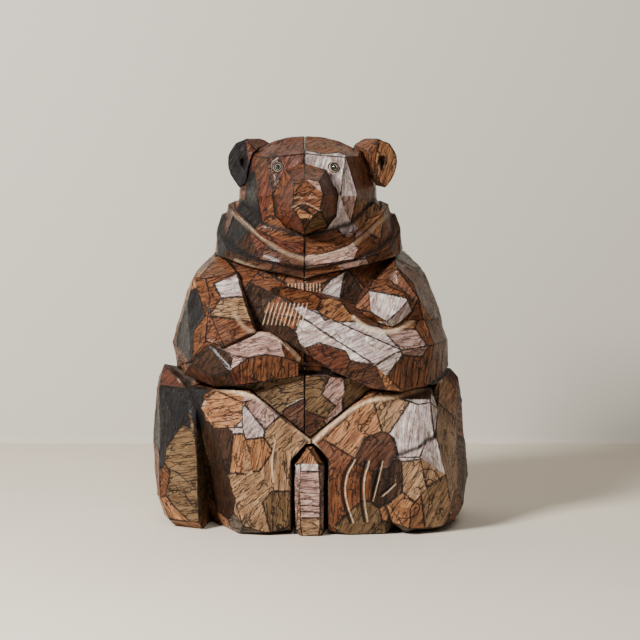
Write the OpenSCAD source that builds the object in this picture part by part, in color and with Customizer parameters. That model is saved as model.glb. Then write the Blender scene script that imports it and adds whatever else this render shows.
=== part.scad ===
// Seated bear, carved from glued hardwood blocks with flat knife cuts.
// Frame: millimetres, +Z up, the figure looks along -Y, and the origin is on the
// table under the middle of the base. "left" and "right" are the figure's own, so
// the right side lies at -X.

/* [Figure] */
// Height of the figure from the table to the crown
figure_height = 250; // [180:1:320]
// Distance of the head's glue line from the middle plane, towards the right side
seam_shift = 3.5; // [2:0.5:5]
// Width of the left half of the head against the right half
left_half_width = 1.09; // [1:0.01:1.12]
// Breadth of the whole figure against its drawn proportions
breadth = 1.04; // [1:0.01:1.06]

/* [Joinery] */
// Diameter of the dowels that join the large blocks
dowel_d = 8; // [6:1:10]
// Diameter of the dowels that hold the ears, the hand and the muzzle
small_dowel_d = 4; // [3:0.5:5]
// Glue room left at each end of a dowel
glue_room = 1; // [0.5:0.5:2]

/* [Eyes] */
// Outer diameter of the brass eye ring
eye_ring_d = 6; // [5:0.5:7]
// Diameter of the glass bead in the ring
eye_bead_d = 3.2; // [2.5:0.1:4]

/* [Hidden] */
$fn = 48;
drawn_height = 250;
size = figure_height / drawn_height;
// Play between a dowel and its bore.
fit = 0.1;
seam_x = -seam_shift;
big = 400;

// A drawn point, spread sideways by the breadth.
function spread(p) = [p[0] * breadth, p[1], p[2]];

// One convex lump whose corners are the given drawn points.
module lump(corners)
    hull()
        polyhedron([for (c = corners) spread(c)], [[for (i = [0 : len(corners) - 1]) i]]);

// Points given outwards from the head's glue line, laid on one side of it.
// side is -1 for the right half and 1 for the left half.
function from_seam(points, side) =
    [for (p = points) [seam_x + side * p[0] * (side > 0 ? left_half_width : 1), p[1], p[2]]];

// Points mirrored to the other side of the middle plane.
function across(points) = [for (p = points) [-p[0], p[1], p[2]]];

// Everything beyond a flat saw cut through "at", on the side that "toward" points to.
module beyond(at, toward) {
    flat = norm([toward[0], toward[1]]);
    translate(spread(at))
        rotate([0, atan2(flat, toward[2]), atan2(toward[1], toward[0])])
            translate([-big / 2, -big / 2, 0])
                cube(big);
}

// A round rod centred on "at" along "toward"; with hole = 1 it is the bore for that rod.
module rod(at, toward, d, length, hole = 0) {
    flat = norm([toward[0], toward[1]]);
    translate(spread(at))
        rotate([0, atan2(flat, toward[2]), atan2(toward[1], toward[0])])
            cylinder(d = d + hole * fit, h = length + 2 * hole * glue_room, center = true);
}

// ---------------------------------------------------------------- dowels

module ear_rod(side, hole = 0)
    rod([side * (38 - ear_inset(side)), 1, 231], [1, 0, 0], small_dowel_d, 18, hole);

module muzzle_rods(hole = 0)
    for (x = [-12, 6])
        rod([x, -43, 207], [0, 1, 0], small_dowel_d, 24, hole);

module neck_rod(side, hole = 0)
    rod([side * 22, -4, 170], [0, 0, 1], dowel_d, 72, hole);

module head_seam_rods(hole = 0)
    for (z = [200, 228])
        rod([seam_x, 22, z], [1, 0, 0], dowel_d, 30, hole);

module torso_seam_rods(hole = 0)
    for (z = [104, 144])
        rod([seam_x, 22, z], [1, 0, 0], dowel_d, 36, hole);

module haunch_seam_rods(hole = 0)
    for (z = [18, 44])
        rod([0, 30, z], [1, 0, 0], dowel_d, 44, hole);

module shoulder_rod(side, hole = 0)
    rod([side * 57, 6, 142], [1, 0, 0], dowel_d, 34, hole);

module forearm_right_rod(hole = 0)
    rod([-38, -47, 107], [0, 1, 0], dowel_d, 28, hole);

module forearm_left_rod(hole = 0)
    rod([24, -52, 124], [0, 1, 0], dowel_d, 30, hole);

module hand_rod(hole = 0)
    rod([44, -46, 147], [0, 1, 0], small_dowel_d, 18, hole);

module hip_rod(side, hole = 0)
    rod([side * 40, 10, hip_joint_z], [0, 0, 1], dowel_d, 56, hole);

module ear_dowels()
    color("#c9a878")
        scale(size) {
            ear_rod(-1);
            ear_rod(1);
        }

module muzzle_dowels()
    color("#c9a878")
        scale(size)
            muzzle_rods();

module neck_dowels()
    color("#c9a878")
        scale(size) {
            neck_rod(-1);
            neck_rod(1);
        }

module seam_dowels()
    color("#c9a878")
        scale(size) {
            head_seam_rods();
            torso_seam_rods();
            haunch_seam_rods();
        }

module arm_dowels()
    color("#c9a878")
        scale(size) {
            shoulder_rod(-1);
            shoulder_rod(1);
        }

module chest_dowels()
    color("#c9a878")
        scale(size) {
            forearm_right_rod();
            forearm_left_rod();
            hand_rod();
        }

module hip_dowels()
    color("#c9a878")
        scale(size) {
            hip_rod(-1);
            hip_rod(1);
        }

// ---------------------------------------------------------------- head

skull = [
    [0, -9, 250], [10, -9, 249.3], [20, -9, 246.5], [32, -8, 240],
    [0, -38, 239], [23, -33, 236.5], [31, -19, 237],
    [0, -43, 214], [20, -42, 212], [29.5, -34, 212],
    [26, -37, 194], [12, -42, 189], [0, -44, 187],
    [40, -3, 218], [41, -5, 205], [42, 14, 206], [41, 12, 226],
    [0, 22, 247], [18, 20, 244], [30, 16, 238],
    [0, 42, 232], [20, 38, 231], [0, 47, 208], [26, 40, 206],
    [0, 44, 188], [30, 36, 192], [40, 0, 196]
];

jowl = [
    [0, -43, 188], [13, -42, 190], [26, -36, 196], [40, -10, 208], [44, 8, 208],
    [0, -55, 172], [14, -53, 174], [24, -48, 178],
    [35, -38, 187], [45, -20, 198], [48, 0, 204],
    [0, -40, 171], [30, -18, 178], [0, 30, 180], [40, 26, 192]
];

muzzle_block = [
    [-3.5, -41, 233], [-15, -41, 229], [-23.5, -41, 212], [-21.5, -41, 200],
    [-15, -41, 192], [-3.5, -42, 187], [11, -41, 193], [15.5, -41, 200],
    [17, -41, 213], [10, -41, 229],
    [-3.5, -71, 224], [-9.5, -70, 222], [-10.5, -71, 215], [-10, -70, 204],
    [-6, -69, 198], [0, -69, 198], [6, -70, 204], [8, -71, 214], [5.5, -70, 222],
    [-3.5, -60, 190], [-13, -58, 198], [9, -58, 198]
];

eye_out = 16.4;
eye_z = 230.3;
eye_y = -37;
eye_look = [0.22, -0.92, 0.31];
ring_step = 22.5;
ring_length = 4;
bead_length = 5;

// Centre of the flat front end of an eye ring.
function eye_at(side) = from_seam([[eye_out, eye_y, eye_z]], side)[0];

// A round pocket or plug on the eye's axis; "out" is how far it stands proud.
module on_eye(side, out)
    translate(spread(eye_at(side)))
        rotate([0, atan2(norm([eye_look[0], eye_look[1]]), eye_look[2]),
                atan2(eye_look[1], side * eye_look[0])])
            translate([0, 0, out])
                children();

module head_lumps(side) {
    lump(from_seam(skull, side));
    lump(from_seam(jowl, side));
}

module head_half(side)
    scale(size)
        difference() {
            head_lumps(side);
            lump(muzzle_block);
            on_eye(side, -ring_length)
                cylinder(d = eye_ring_d, h = 3 * ring_length);
            on_eye(side, -bead_length - 1)
                cylinder(d = eye_bead_d + fit, h = bead_length);
            ear_rod(side, 1);
            muzzle_rods(1);
            neck_rod(side, 1);
            head_seam_rods(1);
        }

module head_right() color("#6b4128") head_half(-1);
module head_left() color("#6b4128") head_half(1);

module muzzle()
    color("#5a3826")
        scale(size)
            difference() {
                lump(muzzle_block);
                muzzle_rods(1);
            }

// Turned ring, rounded on its front edge, with a hole for the bead's stem.
module eye_ring(side) {
    hole_r = (eye_bead_d + fit) / 2;
    wall = eye_ring_d / 2 - hole_r;
    middle = hole_r + wall / 2;
    crown = [for (a = [0 : ring_step : 180]) [middle + wall / 2 * cos(a), wall / 2 * sin(a)]];
    scale(size)
        on_eye(side, 0)
            rotate_extrude($fn = 32)
                polygon(concat([[hole_r, -ring_length], [eye_ring_d / 2, -ring_length]], crown));
}

module eye_ring_right() color("#c8a95e") eye_ring(-1);
module eye_ring_left() color("#c8a95e") eye_ring(1);

// Glass bead: a domed head on a straight stem that runs on into the wood.
module eye_bead(side) {
    r = eye_bead_d / 2;
    dome = [for (a = [0 : ring_step : 90]) [r * cos(a), r * sin(a)]];
    scale(size)
        on_eye(side, 0)
            rotate_extrude($fn = 32)
                polygon(concat([[0, -bead_length], [r, -bead_length]], dome));
}

module eye_bead_right() color("#20201e") eye_bead(-1);
module eye_bead_left() color("#20201e") eye_bead(1);

// ---------------------------------------------------------------- ears

ear_face = [
    [35, -13, 240], [43, -10, 248], [50, -6, 245], [54, -4, 238.5],
    [54.5, -4, 231], [52, -6, 223], [47, -9, 216], [39, -14, 223]
];

ear_back = [
    [26, 4, 244], [33, 4, 248.5], [42, 8, 248.5], [47, 9, 241],
    [47, 9, 231], [44, 8, 223], [38, 6, 218], [30, 4, 227]
];

// Shallow hollow cut into the front of an ear, out towards its rim.
ear_hollow = [
    [41, -15, 238], [46.5, -15, 240.5], [49.5, -15, 234], [44, -15, 225],
    [44.5, -3.5, 233]
];

// The right ear sits a little further in than the left one, and its dowel with it.
ear_step = 2.5;
function ear_inset(side) = side < 0 ? ear_step : 0;

module ear_block(side) {
    step = ear_inset(side);
    corners = concat(ear_face, ear_back);
    scale(size)
        difference() {
            translate([step, 0, 0])
                difference() {
                    lump(side < 0 ? across(corners) : corners);
                    lump(side < 0 ? across(ear_hollow) : ear_hollow);
                }
            head_lumps(side);
            ear_rod(side, 1);
        }
}

module ear_right() color("#6b4128") ear_block(-1);
module ear_left() color("#6b4128") ear_block(1);

// ---------------------------------------------------------------- ruff

// Upper ring of the ruff: its front edge is the raised ridge under the jaw.
ruff_upper = [
    [0, -55, 175.5], [13, -53.5, 177], [23.5, -49, 181], [34, -40, 190], [44, -24, 200], [48, -6, 206],
    [0, -44, 186], [30, -20, 196], [44, 0, 208],
    [0, -55.5, 168], [15, -54, 170], [27, -49.5, 172], [40, -36, 176], [51, -18, 182], [54, 0, 184],
    [44, 24, 206], [28, 42, 200], [0, 50, 200], [52, 26, 184], [34, 46, 180], [0, 54, 178],
    [0, -44, 160], [54, 0, 165], [0, 50, 160]
];

// Lower ring of the ruff, down to the flat joint on the shoulders.
ruff_lower = [
    [0, -54, 168], [18, -52, 169.5], [34, -45, 173], [48, -28, 178], [55, -8, 190], [52, -2, 200],
    [0, -48, 158], [24, -46, 160], [40, -38, 164], [54, -22, 168], [57, 0, 172],
    [57, 22, 178], [50, 26, 198], [38, 48, 176], [0, 57, 176], [36, 42, 194], [0, 50, 196],
    [0, -40, 150], [54, 0, 155], [0, 54, 160]
];

// The neck joint rises outwards from the glue line and towards the back.
neck_joint_z = 160.5;

module above_neck(side)
    beyond([seam_x, -45, neck_joint_z], [-side * 0.2, -0.04, 1]);

module ruff_half(side)
    scale(size)
        intersection() {
            difference() {
                union() {
                    lump(from_seam(ruff_upper, side));
                    lump(from_seam(ruff_lower, side));
                }
                head_lumps(side);
                neck_rod(side, 1);
            }
            above_neck(side);
        }

module ruff_right() color("#5f3a25") ruff_half(-1);
module ruff_left() color("#5f3a25") ruff_half(1);

// ---------------------------------------------------------------- torso

chest = [
    [-3.5, -45, 163], [-3.5, -50, 150], [-3.5, -50, 100],
    [-30, -43, 166], [-44, -40, 150], [-46, -36, 100],
    [-3.5, 62, 176], [-34, 57, 176], [-56, 32, 177], [-60, 0, 176], [-50, -24, 172],
    [-3.5, 68, 150], [-44, 60, 148], [-66, 34, 146], [-70, 0, 130],
    [-3.5, 70, 90], [-50, 62, 88], [-74, 34, 88], [-72, -10, 88], [-3.5, -50, 88], [-50, -40, 88]
];

belly = [
    [-3.5, -57, 100], [-3.5, -60, 84], [-3.5, -62, 58], [-30, -54, 98], [-46, -48, 92],
    [-26, -56, 84], [-3.5, -8, 100], [-46, -8, 92], [-3.5, -8, 50], [-3.5, -50, 50]
];

// Points mirrored about the glue line.
function about_seam(points) = [for (p = points) [2 * seam_x - p[0], p[1], p[2]]];

hip_joint_z = 90;
fork_z = 60;
fork_rise = 0.78;
fork_back = -12;
crest_x = 76;
crest_rise = 0.75;

// Everything under the hip joint: flat in the middle, climbing at the outer hips,
// with a V taken out of it between the thighs.
module below_hips()
    difference() {
        union() {
            translate([-big / 2, -big / 2, hip_joint_z - big])
                cube(big);
            for (side = [-1, 1])
                beyond([side * crest_x, 0, hip_joint_z], [side * crest_rise, 0, -1]);
        }
        intersection() {
            beyond([0, 0, fork_z], [fork_rise, 0, 1]);
            beyond([0, 0, fork_z], [-fork_rise, 0, 1]);
            beyond([0, fork_back, fork_z], [0, -1, 0]);
        }
    }

// The upright saw cut between the torso and an upper arm; the arm lies beyond it.
module arm_side(side)
    beyond([side * 45, -38, 130], [side, -0.2, 0]);

// Chest and belly of one half.
module torso_body(side) {
    lump(side < 0 ? chest : about_seam(chest));
    lump(side < 0 ? belly : about_seam(belly));
}

// The same with the bed for the upper arm cut away.
module torso_core(side)
    difference() {
        torso_body(side);
        intersection() {
            upper_arm_lump(side);
            arm_side(side);
        }
    }

module torso_half(side)
    scale(size)
        difference() {
            torso_core(side);
            below_hips();
            above_neck(side);
            neck_rod(side, 1);
            torso_seam_rods(1);
            shoulder_rod(side, 1);
            hip_rod(side, 1);
            forearm_right_rod(1);
            forearm_left_rod(1);
            hand_rod(1);
        }

module torso_right() color("#6e4630") torso_half(-1);
module torso_left() color("#6e4630") torso_half(1);

// ---------------------------------------------------------------- arms

upper_arm_right_corners = [
    [-55, -10, 174], [-66, 0, 168], [-71, 0, 163], [-76, -2, 153], [-80, -2, 143], [-82, -2, 134],
    [-87, -4, 116], [-85, -4, 107],
    [-57, -41, 160], [-45, -39, 164], [-41.5, -47, 151], [-43, -50, 147], [-61, -50, 147],
    [-64, -40, 160], [-72, -32, 160], [-76, -34, 142], [-70, -42, 137], [-68, -45, 130],
    [-62, -53, 141], [-44, -54, 141], [-42, -56, 134], [-33, -56, 127], [-52, -62, 118],
    [-64, -56, 121], [-74, -44, 107], [-60, -30, 94],
    [-60, 34, 174], [-74, 34, 158], [-80, 34, 130], [-86, 30, 112], [-84, 30, 98], [-84, 0, 98],
    [-60, 50, 150], [-66, 52, 118], [-64, 46, 94], [-40, 40, 160], [-40, 40, 96], [-40, -30, 100]
];

forearm_right_corners = [
    [-64, -55, 121], [-51, -61, 118], [-33, -54, 127], [-26, -53, 127], [-19, -54, 126], [-5, -58, 111],
    [-46, -66, 113], [-37, -68, 112], [-26, -68, 114], [-15, -67, 112], [-7, -64, 108],
    [-49, -67, 103], [-46, -60, 93], [-27, -62, 96], [-7, -60, 99], [-60, -57, 99], [-73, -45, 106],
    [-78, -28, 97], [-59, -46, 91], [-36, -50, 93], [-84, -6, 106], [-70, 10, 92], [-30, -30, 95],
    [-6, -30, 108], [-60, -30, 125], [-84, 0, 112]
];

upper_arm_left_corners = [
    [52, -12, 174], [63, -4, 168.6], [69, -4, 165], [72.5, -4, 158.5], [76, -4, 149.6], [79.5, -4, 141],
    [82.5, -4, 133], [86, -4, 112],
    [47, -38, 165], [52, -40, 168], [63, -40, 157], [66, -46, 148], [62, -50, 140], [56, -52, 130],
    [69, -46, 133], [74, -38, 134], [76, -36, 121],
    [60, 34, 174], [74, 34, 158], [80, 34, 130], [86, 30, 112], [84, 30, 98], [84, 0, 98],
    [60, 52, 150], [66, 52, 118], [64, 46, 94], [40, 40, 160], [40, 40, 96], [40, -30, 104],
    [40, -34, 160]
];

forearm_left_corners = [
    [-23, -56, 155], [-14, -54, 156], [1, -54, 152], [17, -55, 147], [22, -56, 143], [28, -58, 134],
    [41, -60, 129], [64, -52, 131], [70, -46, 134], [80, -24, 133],
    [-30, -60, 149], [-30, -64, 140], [-29, -60, 130], [-21, -65, 151], [-15, -62, 122],
    [-18, -66, 150], [-6, -68, 145], [-2, -69, 143],
    [-3, -72, 136], [10, -74, 127], [24, -75, 120], [36, -76, 115], [39, -78, 108], [50, -75, 115],
    [55, -73, 117], [75, -58, 119], [84, -28, 119],
    [38, -68, 92], [24, -67, 98], [12, -67, 104], [0, -66, 114], [-6, -66, 121],
    [46, -68, 91], [55, -66, 90], [70, -54, 92], [82, -30, 98], [87, -6, 101], [86, -6, 118],
    [40, -30, 95], [84, 10, 104], [60, 0, 92], [20, -30, 100], [-20, -30, 130], [-10, -30, 150]
];

hand_right_corners = [
    [35, -57, 154], [45, -56, 157], [57, -55, 152], [59, -58, 147], [54, -62, 141], [46, -65, 134],
    [36, -64, 140], [28, -53, 147], [26, -56, 142], [33, -50, 155], [30, -56, 134], [50, -58, 128],
    [38, -48, 160], [48, -48, 160], [60, -48, 150], [62, -50, 140], [30, -36, 150], [58, -36, 150],
    [40, -36, 128]
];

module upper_arm_lump(side)
    lump(side < 0 ? upper_arm_right_corners : upper_arm_left_corners);

module forearm_lump(side)
    lump(side < 0 ? forearm_right_corners : forearm_left_corners);

module upper_arm(side)
    scale(size)
        difference() {
            upper_arm_lump(side);
            torso_core(side);
            above_neck(side);
            below_hips();
            shoulder_rod(side, 1);
            hand_rod(1);
        }

module upper_arm_right() color("#6a432c") upper_arm(-1);
module upper_arm_left() color("#6a432c") upper_arm(1);

module forearm_right()
    color("#6a432c")
        scale(size)
            difference() {
                forearm_lump(-1);
                upper_arm_lump(-1);
                torso_core(-1);
                below_hips();
                forearm_right_rod(1);
            }

// The left forearm lies over the right one.
module forearm_left()
    color("#6a432c")
        scale(size)
            difference() {
                forearm_lump(1);
                upper_arm_lump(1);
                torso_body(1);
                torso_body(-1);
                forearm_lump(-1);
                below_hips();
                forearm_left_rod(1);
            }

// The right hand, tucked into the crook of the left arm.
module hand_right()
    color("#8a6a50")
        scale(size)
            difference() {
                lump(hand_right_corners);
                forearm_lump(1);
                upper_arm_lump(1);
                torso_body(1);
                hand_rod(1);
            }

// ---------------------------------------------------------------- haunches

thigh_right = [
    [1, -64, 60], [-12, -66, 73], [-29, -63, 86], [-40, -60, 90], [-59, -52, 90], [-75, -38, 90],
    [-41, -67, 84], [-41, -74, 69], [-59, -66, 67], [-71, -48, 84],
    [-39, -75, 61], [-42, -73, 40], [-44, -70, 30],
    [-6, -70, 56], [-8, -68, 40], [-12, -66, 8], [-41, -72, 6], [-27, -73, 2], [-43, -66, 0],
    [-20, -60, 0], [4, -66, 4], [4, -69, 50],
    [-12, 0, 0], [-60, -20, 0], [4, 0, 60], [4, 0, 90], [-60, 0, 90], [-75, -10, 80], [-70, -10, 10],
    [4, 0, 0]
];

foot_right = [
    [-92, -6, 102], [-83, -24, 95], [-75, -40, 89], [-70, -46, 84], [-94, -24, 90], [-96, -4, 93],
    [-76, -45, 81], [-86, -38, 73], [-93, -30, 62], [-94, -32, 35], [-93, -36, 18], [-87, -42, 5],
    [-68, -54, 5], [-69, -55, 44], [-71, -50, 67],
    [-99, 0, 68], [-99.5, -2, 52], [-99, -4, 33], [-97, -8, 17], [-92, -14, 4], [-84, -34, 0],
    [-66, -48, 0], [-60, 0, 0],
    [-96, 34, 66], [-96, 34, 40], [-90, 34, 6], [-88, 36, 96], [-82, 34, 0], [-60, 30, 94]
];

back_right = [
    [4, 72, 96], [-40, 68, 94], [-70, 54, 92], [-86, 36, 94],
    [4, 78, 60], [-12, 78, 60], [-46, 73, 58], [-78, 54, 56], [-96, 32, 62],
    [4, 74, 20], [-44, 70, 18], [-76, 52, 16], [-94, 30, 16],
    [4, 66, 0], [-40, 62, 0], [-68, 48, 0], [-86, 26, 0],
    [4, -10, 96], [4, -10, 0], [-88, 0, 98], [-86, -4, 0],
    [-95, 14, 86], [-95, 8, 60], [-96, 10, 30], [-90, 8, 6]
];

thigh_left = [
    [-1, -62, 58], [8, -65, 50], [18, -64, 70], [33, -62, 84], [42, -60, 90], [58, -52, 90], [74, -40, 90],
    [42, -62, 78.5], [65.5, -60, 81.5], [73, -56, 82.5], [78, -50, 77.5],
    [75.5, -60, 59.5], [66, -67, 56], [54, -70, 52.5], [49.5, -71, 49.5], [43.5, -70, 59],
    [25, -73, 45], [12, -71, 48], [12, -71, 6], [30, -74, 28], [28, -73, 8],
    [24, -70, 0], [46, -66, 0], [46.5, -72, 35], [46, -71, 8],
    [-4, -66, 4], [-4, -69, 50], [-4, 0, 0], [-4, 0, 60], [-4, 0, 90], [60, 0, 90], [76, -10, 80], [70, -10, 6]
];

foot_left = [
    [49.5, -71, 49.5], [46.5, -73, 35], [45, -73, 20], [49, -71, 8], [60, -72, 4], [78.5, -62, 3.5],
    [88.5, -50, 6], [95, -35, 15], [98, -18, 28], [97, -20, 41], [95, -18, 56],
    [70, -76, 31], [60, -76, 18], [82, -67, 38], [85, -60, 20], [66, -73, 50],
    [76, -60, 60], [86, -40, 64],
    [93, -6, 93], [88, -8, 99], [80, -26, 94], [78, -44, 78], [95, -4, 84], [95, 0, 68],
    [97, 0, 49], [99.5, -4, 30], [98, -8, 17], [95, -12, 7], [89, -16, 0], [78, -48, 0],
    [58, -62, 0], [60, 0, 0],
    [94, 34, 66], [94, 34, 40], [90, 34, 6], [86, 36, 96], [82, 34, 0], [60, 30, 94]
];

// The slot between the thighs: snug at the back, opening towards the front.
slot = [
    [-10, -40, 0], [10, -40, 0], [-10, -40, 47], [10, -40, 47], [0, -40, 57],
    [-12.5, -90, -1], [11, -90, -1], [-12.5, -90, 48], [11, -90, 48], [-5, -90, 58], [4, -90, 58],
    [-10, -40, -1], [10, -40, -1]
];

tongue_corners = [
    [-6, -76, 6], [6, -76, 6], [-7, -77, 30], [6, -77, 30], [-6, -75, 46], [5, -75, 46], [0, -72, 54],
    [-9, -72, 2], [8, -72, 2], [-10, -68, 45], [8, -68, 45], [-2.5, -66, 56], [2, -66, 56],
    [-5, -74, 0], [5, -74, 0],
    [-10, -40, 0], [10, -40, 0], [-10, -40, 47], [10, -40, 47], [0, -40, 57]
];

module own_side(side)
    beyond([0, 0, 0], [side, 0, 0]);

module haunch(side)
    scale(size)
        difference() {
            intersection() {
                union() {
                    lump(side < 0 ? thigh_right : thigh_left);
                    lump(side < 0 ? foot_right : foot_left);
                    lump(side < 0 ? back_right : across(back_right));
                }
                below_hips();
                own_side(side);
            }
            lump(slot);
            haunch_seam_rods(1);
            hip_rod(side, 1);
        }

module haunch_right() color("#7a5236") haunch(-1);
module haunch_left() color("#7a5236") haunch(1);

module tongue()
    color("#6b4a34")
        scale(size)
            lump(tongue_corners);

head_right();
head_left();
muzzle();
ear_right();
ear_left();
eye_ring_right();
eye_ring_left();
eye_bead_right();
eye_bead_left();
ruff_right();
ruff_left();
torso_right();
torso_left();
upper_arm_right();
upper_arm_left();
forearm_right();
forearm_left();
hand_right();
haunch_right();
haunch_left();
tongue();
ear_dowels();
muzzle_dowels();
neck_dowels();
seam_dowels();
arm_dowels();
chest_dowels();
hip_dowels();
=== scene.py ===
"""Seated bear carved from glued hardwood blocks, finished with stain, ink lines and wax.

Lengths marked "drawn" are millimetres on a figure 250 mm high: x is across the figure,
towards its left side, z is up from the table. DRAWN turns them into the frame's metres.
"""

import math

import bpy
import numpy as np
from bpy.props import FloatProperty, FloatVectorProperty, PointerProperty
from bpy.types import Operator, Panel, PropertyGroup
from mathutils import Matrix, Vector


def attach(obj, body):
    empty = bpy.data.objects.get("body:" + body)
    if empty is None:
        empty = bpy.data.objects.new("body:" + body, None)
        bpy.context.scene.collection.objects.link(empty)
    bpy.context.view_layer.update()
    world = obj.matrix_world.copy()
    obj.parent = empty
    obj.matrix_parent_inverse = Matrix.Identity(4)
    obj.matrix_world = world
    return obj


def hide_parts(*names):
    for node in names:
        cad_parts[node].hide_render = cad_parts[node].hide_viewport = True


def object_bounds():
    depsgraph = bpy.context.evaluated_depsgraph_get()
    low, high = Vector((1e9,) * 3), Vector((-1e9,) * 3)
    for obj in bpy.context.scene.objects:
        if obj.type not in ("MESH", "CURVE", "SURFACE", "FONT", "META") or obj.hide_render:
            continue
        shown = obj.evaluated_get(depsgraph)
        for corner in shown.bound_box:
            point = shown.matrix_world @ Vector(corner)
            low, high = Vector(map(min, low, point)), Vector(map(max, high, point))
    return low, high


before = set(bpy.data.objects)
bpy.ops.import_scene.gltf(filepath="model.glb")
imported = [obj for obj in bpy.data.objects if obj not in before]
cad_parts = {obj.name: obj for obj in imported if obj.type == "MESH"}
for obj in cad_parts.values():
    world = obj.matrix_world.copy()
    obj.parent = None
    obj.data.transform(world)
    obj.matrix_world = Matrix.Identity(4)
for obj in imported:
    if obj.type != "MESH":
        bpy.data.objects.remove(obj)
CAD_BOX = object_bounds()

bl_info = {
    "name": "Carved Bear",
    "version": (1, 0, 0),
    "blender": (4, 5, 0),
    "location": "3D View > Sidebar > Carved Bear",
    "description": "Carved and stained blocks of a seated wooden bear",
    "category": "Object",
}

DRAWN = (CAD_BOX[1][2] - CAD_BOX[0][2]) / 250.0
BODY = "root"
# The way the left eye looks; the right eye's is its mirror image.
EYE_LOOK = (0.22, -0.92, 0.31)
SEED = 11
# Points nearer than this are the same point, in metres.
SAME_POINT = 2e-6
# Stand for "nothing near" and for "no crease bounds this facet", in metres.
FAR = 1.0
NO_CREASE = 0.05
# In metres: corners are rounded this near a crease, and the slow waves fade out this near a
# crease or a border between two tones.
ROUNDED = 0.0016
WAVES_FADE = 0.002
# Dabs of the sides and back: how many places are tried, and the least distance between two.
SIDE_TRIES = 220
SIDE_GAP = 0.019
# Steps round an eye ring, and points along its profile.
RING_STEPS = 72
RING_POINTS = 33

# The slot whose finish each carved block takes.
BLOCK_SLOT = {
    "head_right": "wood_red", "head_left": "wood_warm", "muzzle": "wood_dark",
    "ear_right": "wood_red", "ear_left": "wood_red",
    "ruff_right": "wood_red", "ruff_left": "wood_warm",
    "torso_right": "wood_red", "torso_left": "wood_warm",
    "upper_arm_right": "wood_dark", "upper_arm_left": "wood_warm",
    "forearm_right": "wood_red", "forearm_left": "wood_red", "hand_right": "wood_pale",
    "haunch_right": "wood_warm", "haunch_left": "wood_warm", "tongue": "wood_pale",
}

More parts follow.
